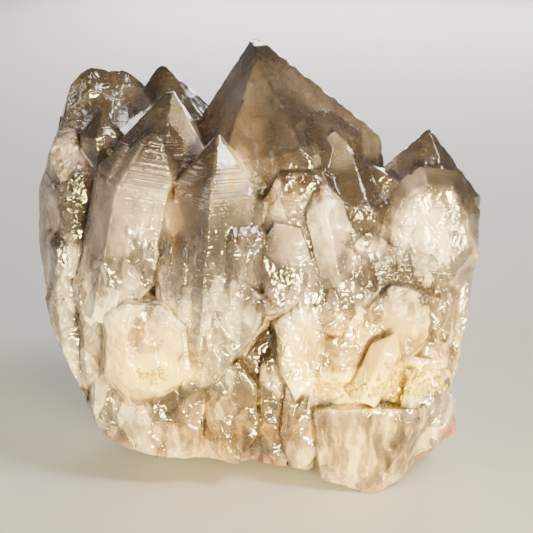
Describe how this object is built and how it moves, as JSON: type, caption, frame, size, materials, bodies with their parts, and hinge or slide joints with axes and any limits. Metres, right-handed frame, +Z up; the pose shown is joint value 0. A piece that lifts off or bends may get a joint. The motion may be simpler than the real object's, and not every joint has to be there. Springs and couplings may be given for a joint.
{
  "type": "smoky quartz crystal cluster",
  "caption": "Fused cluster of pointed smoky quartz crystals rising side by side from one broken, milky root, a mineral specimen that stands free.",
  "frame": {"origin": "middle of the bounding box, in the plane it stands on", "axes": "+Z up, the way the crystals point; the viewer of the best side looks along +Y; +X to that viewer's right"},
  "size_m": [0.1088, 0.0728, 0.1064],
  "materials": {
    "smoky_quartz": "natural crystal, glassy on the faces and frosted where it is broken"
  },
  "bodies": {
    "root": {"smoky_quartz_cluster": "smoky_quartz"}
  },
  "joints": []
}
